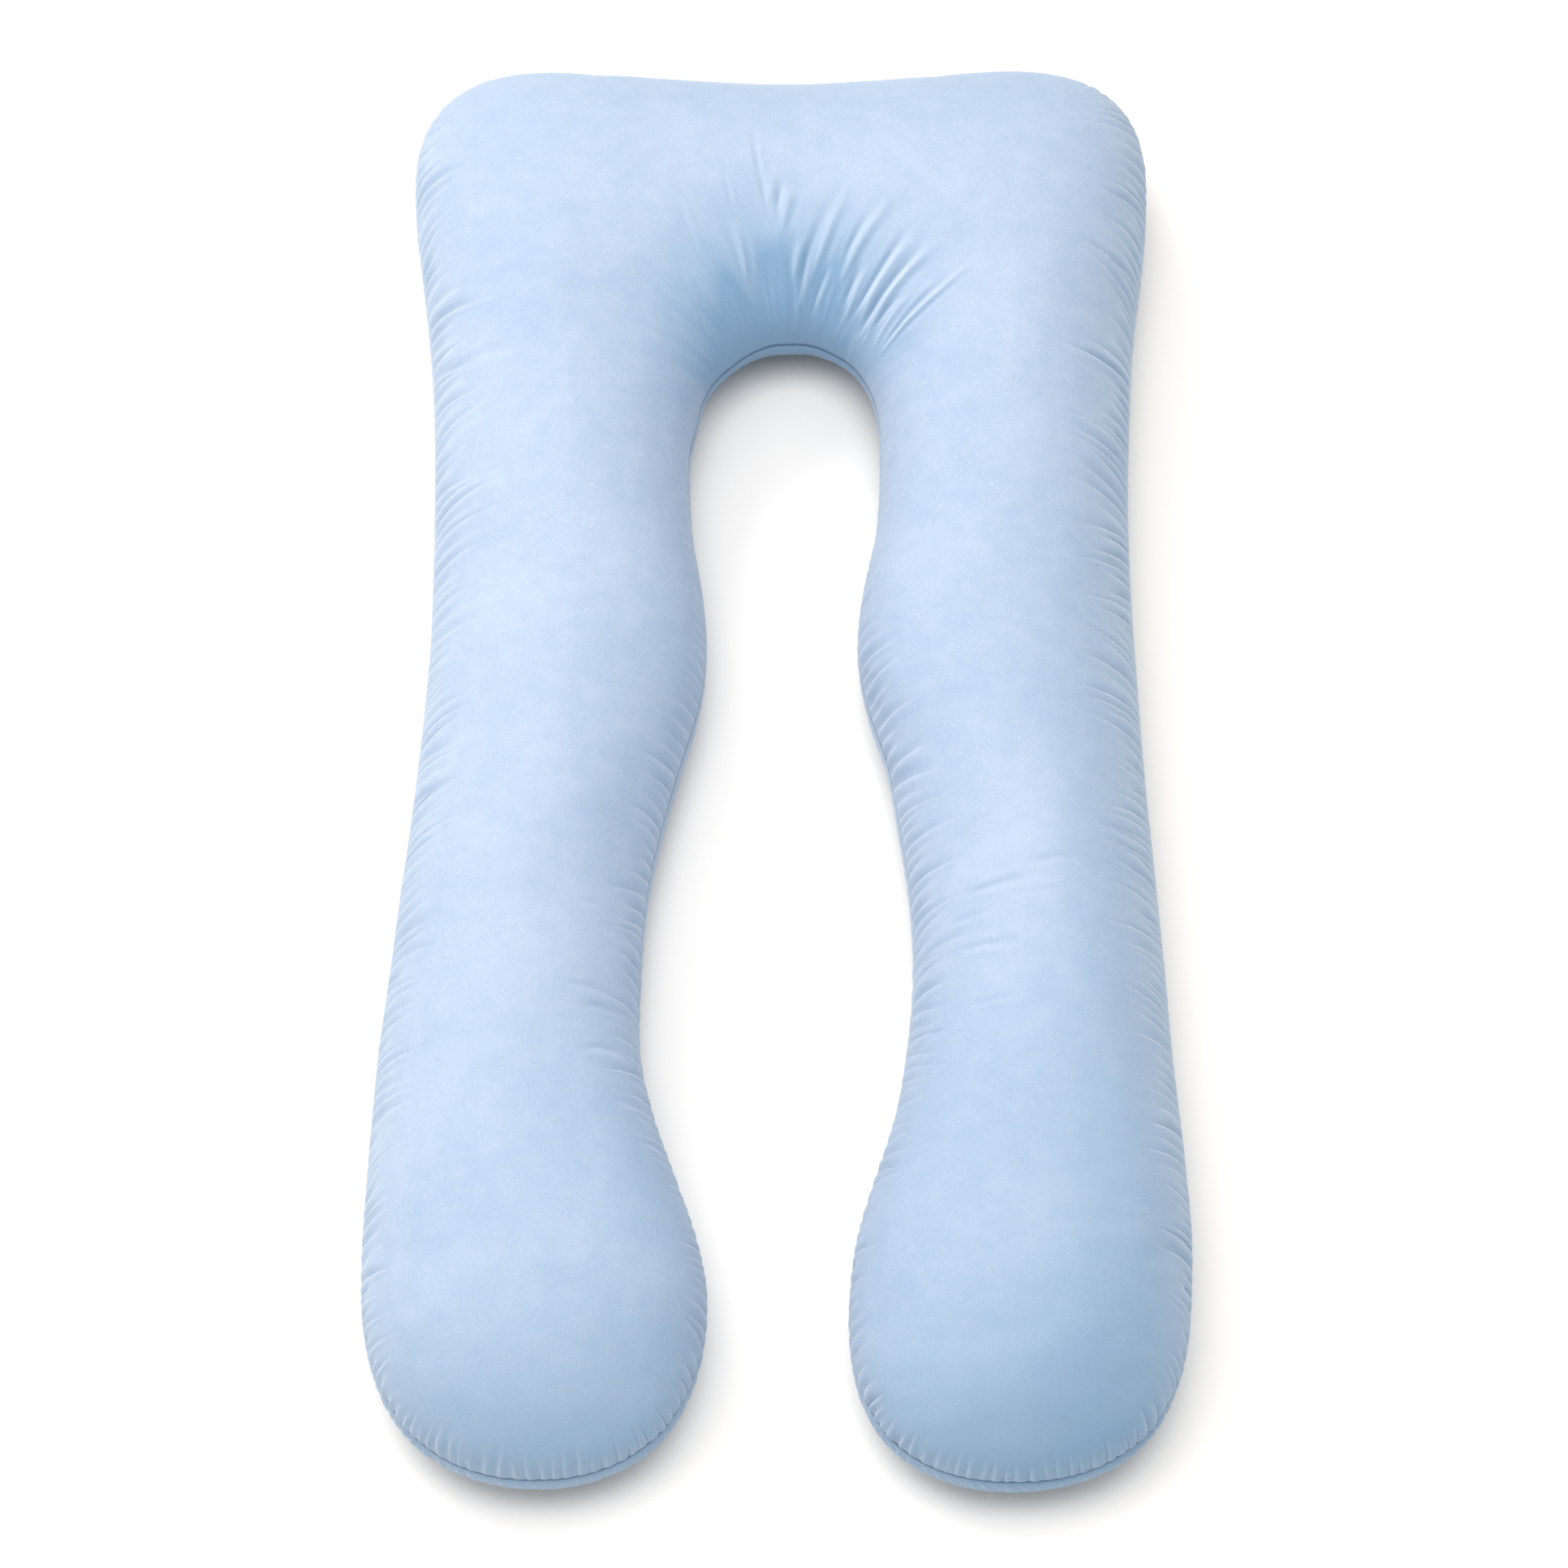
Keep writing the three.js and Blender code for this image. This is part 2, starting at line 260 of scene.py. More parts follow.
# Beside the seam the mesh is cut once more across its length, where the puckers need it.
nearest, along, from_seam = seam_measures(positions(pillow.data))
closer = bmesh.new()
closer.from_mesh(pillow.data)
closer.verts.ensure_lookup_table()
cut = []
for edge in closer.edges:
    first, second = edge.verts
    if from_seam[first.index] < 0.13:
        way = second.co - first.co
        way.normalize()
        if abs(way @ Vector(seam_ahead[nearest[first.index]])) > 0.62:
            cut.append(edge)
bmesh.ops.subdivide_edges(closer, edges=cut, cuts=1)
closer.to_mesh(pillow.data)
closer.free()

smooth_cloth = positions(pillow.data)
smooth_outward = normals(pillow.data)
nearest, along, from_seam = seam_measures(smooth_cloth)
on_top = smooth_cloth[:, 2] >= seam_height - 0.00001

# Next to the seam the cloth moves straight out from it, and further off along its own normal.
seam_outward = np.cross(seam_ahead, (0, 0, 1))
seam_outward *= np.sign(seam_outward[seam_samples[:, 0].argmax(), 0])
beside = np.clip((from_seam - 0.002) / 0.014, 0, 1)[:, None]
outward = smooth_outward * beside + seam_outward[nearest] * (1 - beside)
outward /= np.linalg.norm(outward, axis=1, keepdims=True)


def ease(value, low, high):
    share = np.clip((value - low) / (high - low), 0, 1)
    return share * share * (3 - 2 * share)


# How the seam gathers the cloth, place by place round the pillow: the place, how far apart the
# puckers are, how high, where they start and end as counted from the seam, how much of them
# the bottom panel has, and how far that panel stands out past the seam.
gather_columns = ("x", "y", "apart", "height", "start", "end", "below", "rim")
gathers = [
    (-0.235, -0.80, 0.014, 0.0031, 0.000, 0.055, 0.45, 0.0022),
    (-0.360, -0.72, 0.014, 0.0031, 0.000, 0.065, 0.45, 0.0024),
    (-0.400, -0.58, 0.015, 0.0028, 0.000, 0.100, 0.30, 0.0024),
    (-0.385, -0.30, 0.016, 0.0024, 0.000, 0.125, 0.25, 0.0024),
    (-0.350, 0.10, 0.016, 0.0022, 0.000, 0.130, 0.25, 0.0024),
    (-0.370, 0.45, 0.016, 0.0024, 0.000, 0.130, 0.25, 0.0024),
    (-0.380, 0.70, 0.017, 0.0024, 0.000, 0.110, 0.25, 0.0024),
    (-0.250, 0.80, 0.019, 0.0010, 0.000, 0.050, 0.25, 0.0020),
    (0.250, 0.80, 0.019, 0.0010, 0.000, 0.050, 0.25, 0.0020),
    (0.380, 0.72, 0.015, 0.0052, 0.000, 0.120, 0.25, 0.0026),
    (0.390, 0.45, 0.015, 0.0062, 0.000, 0.135, 0.25, 0.0030),
    (0.360, 0.10, 0.015, 0.0032, 0.000, 0.125, 0.25, 0.0030),
    (0.380, -0.30, 0.015, 0.0032, 0.000, 0.120, 0.25, 0.0030),
    (0.400, -0.58, 0.015, 0.0032, 0.000, 0.100, 0.30, 0.0026),
    (0.360, -0.72, 0.014, 0.0031, 0.000, 0.065, 0.45, 0.0024),
    (0.235, -0.80, 0.014, 0.0031, 0.000, 0.055, 0.45, 0.0022),
    (0.110, -0.72, 0.014, 0.0031, 0.000, 0.060, 0.45, 0.0024),
    (0.080, -0.55, 0.015, 0.0030, 0.000, 0.085, 0.25, 0.0022),
    (0.130, -0.36, 0.016, 0.0024, 0.000, 0.120, 0.25, 0.0022),
    (0.130, -0.15, 0.016, 0.0021, 0.000, 0.110, 0.25, 0.0022),
    (0.080, 0.08, 0.016, 0.0020, 0.000, 0.085, 0.25, 0.0022),
    (0.090, 0.30, 0.016, 0.0010, 0.000, 0.060, 0.1, 0.0022),
    (0.060, 0.40, 0.016, 0.0000, 0.020, 0.060, 0.0, 0.0024),
    (0.014, 0.43, 0.016, 0.0000, 0.020, 0.060, 0.0, 0.0024),
    (-0.050, 0.40, 0.016, 0.0000, 0.020, 0.060, 0.0, 0.0024),
    (-0.080, 0.25, 0.016, 0.0010, 0.000, 0.060, 0.1, 0.0022),
    (-0.070, 0.08, 0.016, 0.0014, 0.000, 0.070, 0.25, 0.0022),
    (-0.110, -0.15, 0.016, 0.0022, 0.000, 0.090, 0.25, 0.0022),
    (-0.130, -0.36, 0.016, 0.0026, 0.000, 0.120, 0.25, 0.0022),
    (-0.080, -0.55, 0.015, 0.0030, 0.000, 0.085, 0.25, 0.0022),
    (-0.110, -0.72, 0.014, 0.0031, 0.000, 0.060, 0.45, 0.0024),
]
gathers = [dict(zip(gather_columns, row)) for row in gathers]
for gather in gathers:
    found = seam_tree.find(Vector((gather["x"], gather["y"], seam_height)))[1]
    gather["place"] = sample_places[found]
gathers.sort(key=lambda gather: gather["place"])


def gathered(column, place):
    places = [gather["place"] for gather in gathers]
    values = [gather[column] for gather in gathers]
    return np.interp(place, places, values, period=seam_length)


# Narrow tucks follow one another round the seam, none like the last: some lean, some are long
# and a few run together. Between two tucks the cloth stands up in a rounded billow.
chance = np.random.default_rng(11)
tuck_starts = []
at = 0.0
while at < seam_length - 0.010:
    tuck_starts.append(at)
    at += float(gathered("apart", at)) * chance.uniform(0.65, 1.25)
tuck_starts = np.array(tuck_starts)
tuck_count = len(tuck_starts)


def sway(reach):
    walk = chance.uniform(-1, 1, tuck_count + 8)
    walk = np.convolve(walk, np.ones(5) / 5 ** 0.5, "same")[4:-4]
    return reach * (0.7 * walk + 0.3 * chance.uniform(-1, 1, tuck_count))


def billows(share_of_height, delay, slant):
    height = gathered("height", tuck_starts) * chance.uniform(0.50, 1.20, tuck_count)
    height = height * share_of_height
    begin = gathered("start", tuck_starts) * chance.uniform(0.8, 1.2, tuck_count) + delay
    end = gathered("end", tuck_starts) * chance.uniform(0.45, 1.00, tuck_count)
    lean, bend = sway(slant), sway(1.2)
    uphill = seam_ahead[(tuck_starts / 0.001).astype(int), :2] @ (-0.63, 0.77)
    skew = np.exp(0.75 * uphill) * chance.uniform(0.75, 1.35, tuck_count)
    here = np.mod(along, seam_length)
    first = np.searchsorted(tuck_starts, here, side="right") - 1
    tucks, heights = [], []
    for neighbour in range(-3, 5):
        k = first + neighbour
        turns, k = np.divmod(k, tuck_count)
        line = tuck_starts[k] + turns * seam_length
        line = line + lean[k] * from_seam + bend[k] * from_seam ** 2
        if tucks:
            line = np.maximum(line, tucks[-1] + 0.0006)
        tucks.append(line)
        reach = (from_seam - begin[k]) / (end[k] - begin[k])
        heights.append(height[k] * ease(reach, 0, 0.14) * (1 - ease(reach, 0.35, 1)))
    tucks, heights = np.array(tucks), np.array(heights)
    between = np.clip((tucks <= here).sum(axis=0) - 1, 0, 6)
    every = np.arange(len(here))
    left, right = tucks[between, every], tucks[between + 1, every]
    low, high = heights[between, every], heights[between + 1, every]
    gap = right - left
    share = np.clip((here - left) / gap, 0, 1)
    rise = (low * (1 - share) + high * share) * np.clip(gap / 0.016, 0.2, 1.4)
    lopsided = share ** skew[np.mod(first - 3 + between, tuck_count)]
    billow = 1 - np.abs(2 * lopsided - 1) ** 2.35
    order = first - 3 + between + share
    strength = np.where(share < 0.5, low, high)
    return rise * (billow - 0.75), order, gap, strength


over, over_order, over_gap, over_strength = billows(0.95, 0.0, 0.22)
below = gathered("below", tuck_starts)
under, under_order, under_gap, under_strength = billows(below, 0.003, 0.8)
puckers = np.where(on_top, over, under)
tuck_order = np.where(on_top, over_order, under_order)
tuck_gap = np.where(on_top, over_gap, under_gap)
tuck_strength = np.where(on_top, over_strength, under_strength)

# Long creases stand away from the seam: a fan of them round the crotch, where the head turns
# into the legs, and short tucks across both legs where the tubes bend.
crease_columns = ("from_x", "from_y", "to_x", "to_y", "bow", "height", "width")
creases = [
    (0.005, 0.557, 0.016, 0.609, 0.001, 0.0019, 0.0046),
    (-0.009, 0.586, -0.008, 0.622, -0.001, 0.0013, 0.0041),
    (0.029, 0.493, 0.081, 0.615, 0.002, 0.0022, 0.0046),
    (0.061, 0.493, 0.127, 0.595, 0.004, 0.0024, 0.0046),
    (0.083, 0.460, 0.150, 0.546, 0.004, 0.0026, 0.0044),
    (0.088, 0.442, 0.176, 0.537, 0.007, 0.0023, 0.0044),
    (0.101, 0.436, 0.149, 0.484, 0.004, 0.0016, 0.0037),
    (0.103, 0.424, 0.209, 0.509, -0.001, 0.0019, 0.0029),
    (0.070, 0.465, 0.106, 0.528, 0.003, 0.0014, 0.0039),
    (0.017, 0.505, 0.030, 0.556, 0.003, 0.0016, 0.0041),
    (-0.031, 0.502, -0.047, 0.571, -0.002, 0.0012, 0.0041),
    (-0.092, 0.529, -0.136, 0.598, 0.000, 0.0009, 0.0041),
    (-0.081, 0.560, -0.121, 0.616, 0.002, 0.0007, 0.0041),
    (-0.077, 0.449, -0.105, 0.491, -0.002, 0.0009, 0.0020),
    (-0.080, 0.480, -0.098, 0.503, 0.000, 0.0009, 0.0032),
    (-0.102, 0.445, -0.140, 0.487, 0.001, 0.0007, 0.0041),
    (-0.008, 0.574, -0.026, 0.688, 0.004, -0.0017, 0.0026),
    (-0.001, 0.578, 0.004, 0.617, 0.000, -0.0019, 0.0032),
    (-0.047, 0.582, -0.059, 0.621, 0.000, -0.0012, 0.0028),
    (0.020, 0.487, 0.055, 0.592, 0.004, -0.0019, 0.0035),
    (0.036, 0.485, 0.058, 0.529, 0.001, -0.0016, 0.0031),
    (0.069, 0.527, 0.094, 0.572, 0.000, -0.0018, 0.0033),
    (0.067, 0.483, 0.089, 0.525, -0.001, -0.0018, 0.0033),
    (0.076, 0.467, 0.141, 0.558, 0.000, -0.0023, 0.0033),
    (0.082, 0.451, 0.154, 0.529, 0.003, -0.0023, 0.0031),
    (0.100, 0.453, 0.130, 0.482, 0.002, -0.0013, 0.0027),
    (0.108, 0.431, 0.178, 0.492, 0.002, -0.0019, 0.0028),
    (-0.079, 0.527, -0.107, 0.587, 0.002, -0.0010, 0.0037),
    (0.242, -0.191, 0.287, -0.182, 0.000, -0.0009, 0.0045),
    (0.178, -0.215, 0.264, -0.202, -0.001, -0.0012, 0.0048),
    (0.169, -0.244, 0.214, -0.236, 0.000, -0.0009, 0.0042),
    (0.142, -0.263, 0.198, -0.256, 0.002, -0.0012, 0.0048),
    (0.175, -0.274, 0.250, -0.273, 0.000, -0.0012, 0.0048),
    (0.144, -0.316, 0.186, -0.306, 0.000, -0.0006, 0.0045),
    (0.172, -0.340, 0.249, -0.335, 0.002, -0.0009, 0.0042),
    (0.135, -0.367, 0.173, -0.353, 0.000, -0.0012, 0.0048),
    (0.164, -0.367, 0.189, -0.366, 0.000, -0.0006, 0.0035),
    (0.144, -0.483, 0.181, -0.490, 0.000, -0.0005, 0.0040),
    (0.142, -0.420, 0.173, -0.420, 0.000, -0.0004, 0.0045),
    (0.246, -0.220, 0.285, -0.220, 0.000, -0.0004, 0.0045),
    (0.324, -0.139, 0.367, -0.139, -0.002, -0.0012, 0.0045),
    (0.187, 0.262, 0.227, 0.265, 0.000, -0.0005, 0.0050),
    (-0.213, -0.315, -0.163, -0.313, 0.000, -0.0009, 0.0045),
    (-0.194, -0.337, -0.139, -0.339, 0.006, -0.0012, 0.0048),
    (-0.196, -0.393, -0.135, -0.385, 0.012, -0.0012, 0.0050),
    (-0.161, -0.434, -0.133, -0.433, 0.000, -0.0009, 0.0042),
    (-0.136, -0.477, -0.106, -0.473, 0.001, -0.0009, 0.0042),
    (-0.193, -0.222, -0.172, -0.224, 0.000, -0.0004, 0.0040),
    (-0.180, -0.243, -0.158, -0.246, 0.000, -0.0005, 0.0040),
    (-0.345, 0.404, -0.264, 0.403, 0.002, -0.0007, 0.0055),
    (-0.346, 0.238, -0.306, 0.245, 0.000, -0.0006, 0.0055),
]
creases = [dict(zip(crease_columns, row)) for row in creases]


# The gap from each point to a crease's bowed line, and how far along the line the point is.
def crease_measures(points, row):
    start = np.array((row["from_x"], row["from_y"]))
    way = np.array((row["to_x"], row["to_y"])) - start
    length = np.linalg.norm(way)
    sideways = np.array((-way[1], way[0])) / length
    travelled = np.clip((points - start) @ way / length ** 2, 0, 1)
    bowed = row["bow"] * 4 * travelled * (1 - travelled)
    on_line = start + travelled[:, None] * way + bowed[:, None] * sideways
    return np.linalg.norm(points - on_line, axis=1), travelled


folds = np.zeros(len(smooth_cloth))
above = np.flatnonzero(on_top)
for row in creases:
    middle = ((row["from_x"] + row["to_x"]) / 2, (row["from_y"] + row["to_y"]) / 2)
    close = above[np.abs(smooth_cloth[above, :2] - middle).max(axis=1) < 0.10]
    gap, travelled = crease_measures(smooth_cloth[close, :2], row)
    fade = ease(travelled, 0, 0.3) * (1 - ease(travelled, 0.55, 1))
    width = row["width"] * (0.6 + 0.6 * travelled)
    crest = np.exp(-np.abs(gap / width) ** 1.6)
    beside_it = np.exp(-((gap / width - 2.0) / 0.9) ** 2)
    folds[close] += 0.70 * row["height"] * fade * (crest - 0.25 * beside_it)

# Round the crotch the cloth is crowded into fine rays, and painted shade makes it deepest in colour
# there, varied by the rays.
crotch = np.array((0.014, 0.40))
outward_from_crotch = smooth_cloth[:, :2] - crotch
ray_turn = np.arctan2(outward_from_crotch[:, 0], outward_from_crotch[:, 1])
ray_out = np.hypot(outward_from_crotch[:, 0], outward_from_crotch[:, 1])
crowded_and_shaded = np.exp(-((smooth_cloth[:, 0] / 0.10) ** 2) - ((smooth_cloth[:, 1] - 0.47) / 0.095) ** 2)
rays = np.zeros(len(smooth_cloth))
for number in np.flatnonzero(crowded_and_shaded > 0.01):
    turn, out = ray_turn[number], ray_out[number]
    broad = noise.noise(Vector((turn * 5, out * 9, 0.5)))
    fine = noise.noise(Vector((turn * 17, out * 12, 7.5)))
    rays[number] = broad + 0.7 * fine
folds += 0.0007 * rays * ease(from_seam, 0.02, 0.06) * np.sqrt(crowded_and_shaded) * on_top
crowded_and_shaded *= 1 + 0.55 * rays

# The fibre lies in soft lumps under the cloth, longer across a leg than along it, fills the
# panels out, most of all at the back of the head, and the seam is drawn into a groove.
def lump(point):
    broad = noise.noise(point * 8.5) + 0.5 * noise.noise(point * 19)
    across = noise.noise(Vector((point.x * 14, point.y * 46, point.z * 14)))
    return broad * 0.0015 + across * 0.0003


lumps = np.array([lump(Vector(point)) for point in smooth_cloth]) * ease(from_seam, 0.01, 0.08)
at_feet = 1 - ease(smooth_cloth[:, 1], -0.66, -0.50)
at_back = ease(smooth_cloth[:, 1], 0.62, 0.74)
lumps *= 1 - 0.6 * at_back
fuller = 0.0028 + 0.0016 * at_back
swell = np.where(on_top, 0.0004 + 0.0010 * at_feet, gathered("rim", along))
swell = swell * ease(from_seam, 0, 0.012) * (1 - ease(from_seam, 0.03, 0.08))
groove = swell - (0.0012 + 0.0022 * at_feet) * np.exp(-(from_seam / 0.0040) ** 2)

finished = smooth_cloth + outward * (puckers + folds + lumps + groove + fuller)[:, None]
finished[:, 2] = np.maximum(finished[:, 2], 0)
lying = smooth_cloth[:, 2] < 0.0005
finished[lying] = smooth_cloth[lying] * (1, 1, 0)
place(pillow.data, finished)

# Painted shade: the cloth is coloured deeper where it turns away from the top, most to the front,
# less to the back and the right, where it is crowded in the crotch, under the seam there, on the
# right side and towards the feet.
facing_right, facing_back, facing_up = normals(pillow.data).T
shade_by_facing = np.maximum(-0.66 * facing_back, 0.40 * facing_back)
overhang_shade = np.exp(-((outward_from_crotch / 0.10) ** 2).sum(axis=1)) * ~on_top
painted_shade_weight = shade_by_facing + 0.25 * np.maximum(facing_right, 0) + 0.85 * crowded_and_shaded + 0.5 * overhang_shade
far_side_shade = ease(smooth_cloth[:, 0], 0.10, 0.30)
far_side_shade *= 1 - 0.7 * ease(smooth_cloth[:, 1], 0.10, 0.40)
painted_shade_weight += 0.18 * far_side_shade * ease(facing_right, -0.40, 0.35) * (1 - ease(facing_right, 0.5, 0.95))
painted_shade_weight += 0.26 * ease(-smooth_cloth[:, 1], 0.1, 0.7) * ease(smooth_cloth[:, 0], -0.9, 0.3)
# Painted light and shade on the folds: a flank turned towards the light, up on the left behind, is
# painted paler, and one turned from it darker.
painted_flank_light = (normals(pillow.data) - smooth_outward)[:, :2] @ (-0.63, 0.77)

# The cloth carries its place on the seam, the height of its folds, and the weights of its painted
# shade and painted flank light for the finish to read.
for name, values in (
    ("seam_gap", from_seam),
    ("seam_place", along),
    ("fold_height", (puckers + folds) / 0.0025),
    ("tuck_order", tuck_order),
    ("tuck_gap", tuck_gap),
    ("tuck_strength", tuck_strength),
    ("painted_shade_weight", painted_shade_weight),
    ("painted_flank_light", painted_flank_light * ease(from_seam, 0.002, 0.008) * (1 - 0.4 * at_feet)),
):
    marked = pillow.data.attributes.new(name, "FLOAT", "POINT")
    marked.data.foreach_set("value", values.astype(np.float32))
for spare in ("crease_edge",):
    pillow.data.attributes.remove(pillow.data.attributes[spare])


class Finish:
    """A material's tree, or a socket in it that the signs of arithmetic work on."""

    def __init__(self, tree, socket=None):
        self.tree = tree
        self.socket = socket

    def node(self, kind, settings, inputs, output=0):
        made = self.tree.nodes.new(kind)
        for name, value in settings.items():
            if name == "stops":
                for stop, (at, colour) in zip(made.color_ramp.elements, value):
                    stop.position = at
                    stop.color = colour
            else:
                setattr(made, name, value)
        for name, value in inputs.items():
            if isinstance(value, Finish):
                self.tree.links.new(value.socket, made.inputs[name])
            else:
                made.inputs[name].default_value = value
        return Finish(self.tree, made.outputs[output] if made.outputs else None)

    def maths(self, operation, first, second=0.0, clamp=False):
        settings = {"operation": operation, "use_clamp": clamp}
        return self.node("ShaderNodeMath", settings, {0: first, 1: second})

    def __add__(self, other):
        return self.maths("ADD", self, other)

    def __sub__(self, other):
        return self.maths("SUBTRACT", self, other)

    def __rsub__(self, other):
        return self.maths("SUBTRACT", other, self)

    def __mul__(self, other):
        return self.maths("MULTIPLY", self, other)

    def __truediv__(self, other):
        return self.maths("DIVIDE", self, other)

    def __abs__(self):
        return self.maths("ABSOLUTE", self)

    __radd__ = __add__
    __rmul__ = __mul__

    def clipped(self):
        return self.maths("ADD", self, 0.0, clamp=True)


def mixed(finish, share, plain, other):
    settings = {"data_type": "RGBA", "clamp_factor": True}
    return finish.node("ShaderNodeMix", settings, {0: share, 6: plain, 7: other}, 2)


# Brushed plush: a short soft pile in sky blue, cloudy where a hand has stroked it, with stray
# fibres in it. A fold's crest is paler, partly from its pile and partly as a painted highlight;
# painted shade darkens its troughs and where it turns from the light, and the flanks of its folds
# are painted lighter or darker by how they face the light.
plush = bpy.data.materials.new("brushed_plush")
plush.use_nodes = True
plush.node_tree.nodes.clear()
cloth_finish = Finish(plush.node_tree)
sky_blue = (0.425, 0.515, 0.650, 1)
deep_blue = (0.290, 0.400, 0.560, 1)
pale_blue = (0.537, 0.612, 0.714, 1)
shadowed_blue = (0.213, 0.345, 0.499, 1)
painted_shade_blue = (0.130, 0.235, 0.380, 1)
rubbed_and_lit_blue = (0.600, 0.670, 0.760, 1)
seam_blue = (0.060, 0.115, 0.200, 1)

where = cloth_finish.node("ShaderNodeTexCoord", {}, {}, "Object")


def mottle(scale, detail, roughness=0.5, distortion=0.0):
    inputs = {
        "Vector": where,
        "Scale": scale,
        "Detail": detail,
        "Roughness": roughness,
        "Distortion": distortion,
    }
    return cloth_finish.node("ShaderNodeTexNoise", {}, inputs)


def carried(name):
    return cloth_finish.node("ShaderNodeAttribute", {"attribute_name": name}, {}, "Fac")


clouds = mottle(7, 3, 0.55)
patches = mottle(45, 4, 0.6)
grain = mottle(480, 4, 0.75)
stray = abs(mottle(210, 1, 0.5, 1.2) - 0.5)
stray_here = (mottle(120, 2) * 5 - 2.4).clipped()
fibres = (1 - stray * 20).clipped() * stray_here
height = carried("fold_height")
seam_gap = carried("seam_gap")


# How near a point is to a tuck: a thin dark line of painted shade in the tuck, with a pale edge on
# either side that is partly rubbed pile and partly painted highlight, and both fade with the tuck.
order = carried("tuck_order")
off_tuck = abs(order - cloth_finish.maths("ROUND", order)) * carried("tuck_gap")
strength = (carried("tuck_strength") * 420).clipped()
tuck_shadow_line = (1 - off_tuck * 800).clipped() * strength
tuck_edge_rubbed_and_lit = (1 - abs(off_tuck - 0.0028) * 650).clipped() * strength

# Painted highlight on a fold's crest, partly its pile opening paler, and painted shade in a trough.
crest = (height * 0.9 - 0.15).clipped()
trough_shade = (height * -1.1 - 0.1).clipped()
shade = (clouds - 0.5) * 0.75 + (patches - 0.5) * 0.7 + (grain - 0.5) * 1.15 + fibres * 0.8
colour = mixed(cloth_finish, (shade * -1.0 + 0.08).clipped(), sky_blue, deep_blue)
colour = mixed(cloth_finish, (shade + 0.0).clipped(), colour, pale_blue)
# Painted shade where the cloth turns from the light, in the crotch and under the seam there.
colour = mixed(cloth_finish, carried("painted_shade_weight"), colour, shadowed_blue)
colour = mixed(cloth_finish, trough_shade * 0.22, colour, painted_shade_blue)
colour = mixed(cloth_finish, crest * 0.25, colour, pale_blue)
# Painted shade and painted highlight on the flanks of the folds, by how they face the light.
colour = mixed(cloth_finish, (carried("painted_flank_light") * -0.5).clipped(), colour, painted_shade_blue)
colour = mixed(cloth_finish, (carried("painted_flank_light") * 1.1).clipped(), colour, rubbed_and_lit_blue)
# The tuck's painted shadow line and its pale edges, partly painted highlight.
colour = mixed(cloth_finish, tuck_shadow_line * 0.12, colour, painted_shade_blue)
colour = mixed(cloth_finish, tuck_edge_rubbed_and_lit * 0.10, colour, rubbed_and_lit_blue)

# The seam is a thin dark line with a row of short stitches sunk beside it.
stitch_wave = cloth_finish.maths("SINE", carried("seam_place") * (2 * math.pi / 0.0032))
line_dark = (2.2 - seam_gap / 0.0013).clipped()
colour = mixed(cloth_finish, line_dark * (0.8 + stitch_wave * 0.12), colour, seam_blue)

relief = (grain - 0.5) * 0.5 + (patches - 0.5) * 0.5 + fibres * 0.32 + tuck_edge_rubbed_and_lit * 0.4
bump = cloth_finish.node(
    "ShaderNodeBump", {}, {"Strength": 0.55, "Distance": 0.0012, "Height": relief}
)
velvet = {
    "Base Color": colour,
    "Roughness": 0.92,
    "Specular IOR Level": 0.18,
    "Sheen Weight": 0.35,
    "Sheen Roughness": 0.45,
    "Sheen Tint": (0.92, 0.96, 1, 1),
    "Normal": bump,
}
surface = cloth_finish.node("ShaderNodeBsdfPrincipled", {}, velvet)
cloth_finish.node("ShaderNodeOutputMaterial", {}, {"Surface": surface})
pillow.data.materials.append(plush)

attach(pillow, "root")
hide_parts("pillow")


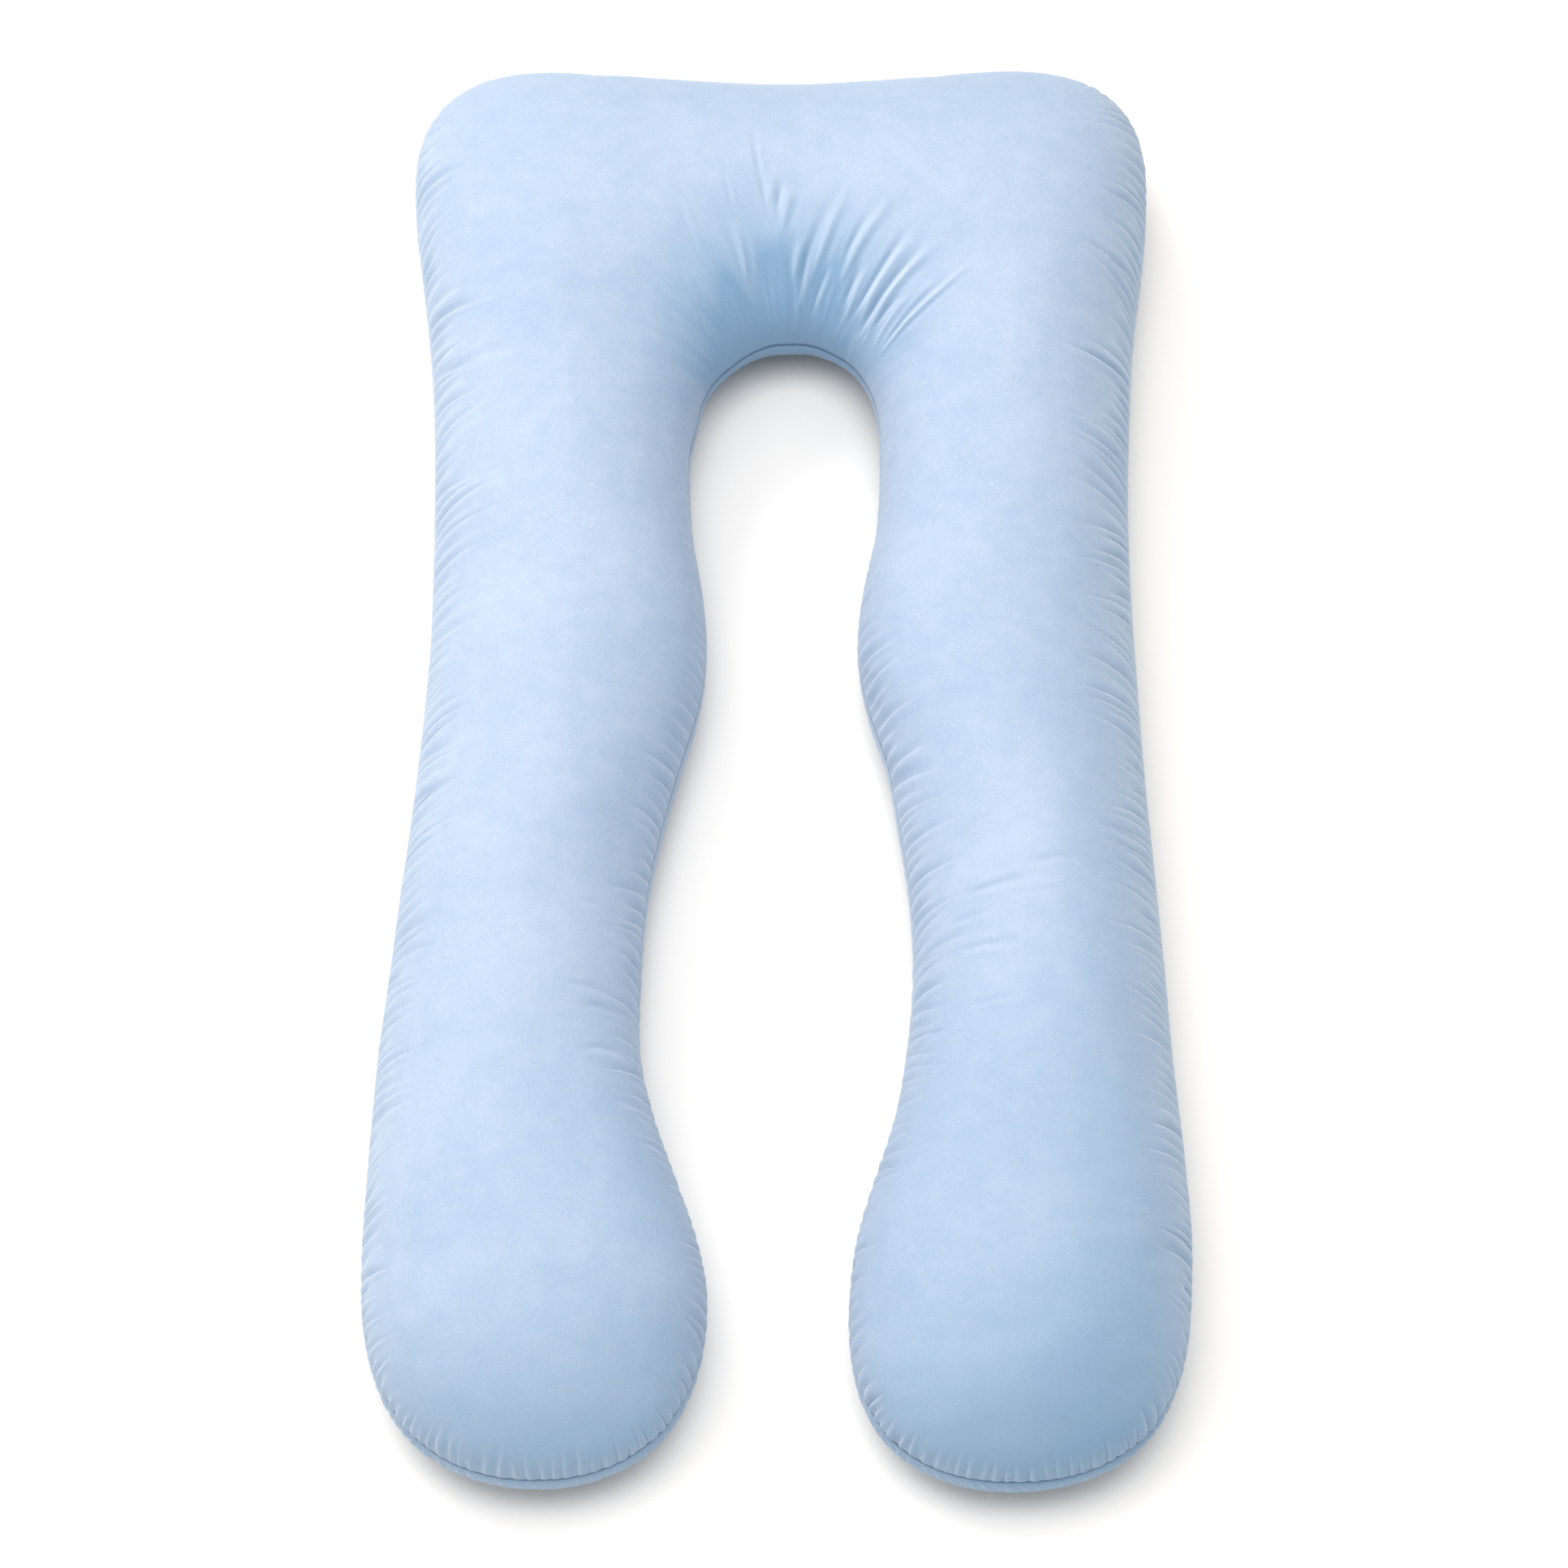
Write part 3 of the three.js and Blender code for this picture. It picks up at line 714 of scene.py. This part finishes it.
# A white floor with a painted contact shadow, darker close under the pillow, and a faint glow of
# its own, under a very large soft light up on the left behind the pillow, and an even pale sky
# round it, so that the shadows are short, soft and only at the lower right.
floor_size = 14
floor_bm = bmesh.new()
bmesh.ops.create_grid(floor_bm, x_segments=1, y_segments=1, size=floor_size / 2)
floor_mesh = bpy.data.meshes.new("floor")
floor_bm.to_mesh(floor_mesh)
floor_bm.free()
floor = bpy.data.objects.new("floor", floor_mesh)
scene.collection.objects.link(floor)
paper = bpy.data.materials.new("white_paper")
paper.use_nodes = True
paper.node_tree.nodes.clear()
paper_finish = Finish(paper.node_tree)
# Painted contact shadow: the floor is coloured darker where the pillow closes in on it.
open_to_sky = paper_finish.node("ShaderNodeAmbientOcclusion", {"samples": 8}, {"Distance": 0.05}, "AO")
shaded = (open_to_sky * 1.5).clipped()
floor_with_contact_shadow = mixed(paper_finish, shaded, (0.24, 0.23, 0.22, 1), (0.96, 0.925, 0.88, 1))
white = {
    "Base Color": floor_with_contact_shadow,
    "Emission Color": floor_with_contact_shadow,
    "Emission Strength": 0.04,
    "Roughness": 0.9,
    "Specular IOR Level": 0.1,
}
paper_surface = paper_finish.node("ShaderNodeBsdfPrincipled", {}, white)
paper_finish.node("ShaderNodeOutputMaterial", {}, {"Surface": paper_surface})
floor_mesh.materials.append(paper)


def soft_light(name, place_at, across, up, power):
    lamp = bpy.data.lights.new(name, "AREA")
    lamp.shape = "ELLIPSE"
    lamp.size = across
    lamp.size_y = up
    lamp.energy = power
    stand = bpy.data.objects.new(name, lamp)
    stand.location = place_at
    stand.rotation_euler = (-Vector(place_at)).to_track_quat("-Z", "Y").to_euler()
    scene.collection.objects.link(stand)
    return stand


soft_light("window", (-2.7, 2.9, 3.2), 5.0, 2.0, 126)
soft_light("ceiling", (0.0, -0.8, 5.3), 3.2, 3.2, 143)
soft_light("side", (-2.4, -1.4, 4.7), 2.4, 2.4, 29)

sky = bpy.data.worlds.new("studio")
sky.use_nodes = True
sky.node_tree.nodes["Background"].inputs["Color"].default_value = (1, 1, 1, 1)
sky.node_tree.nodes["Background"].inputs["Strength"].default_value = 0.64
scene.world = sky
scene.view_settings.view_transform = "Standard"
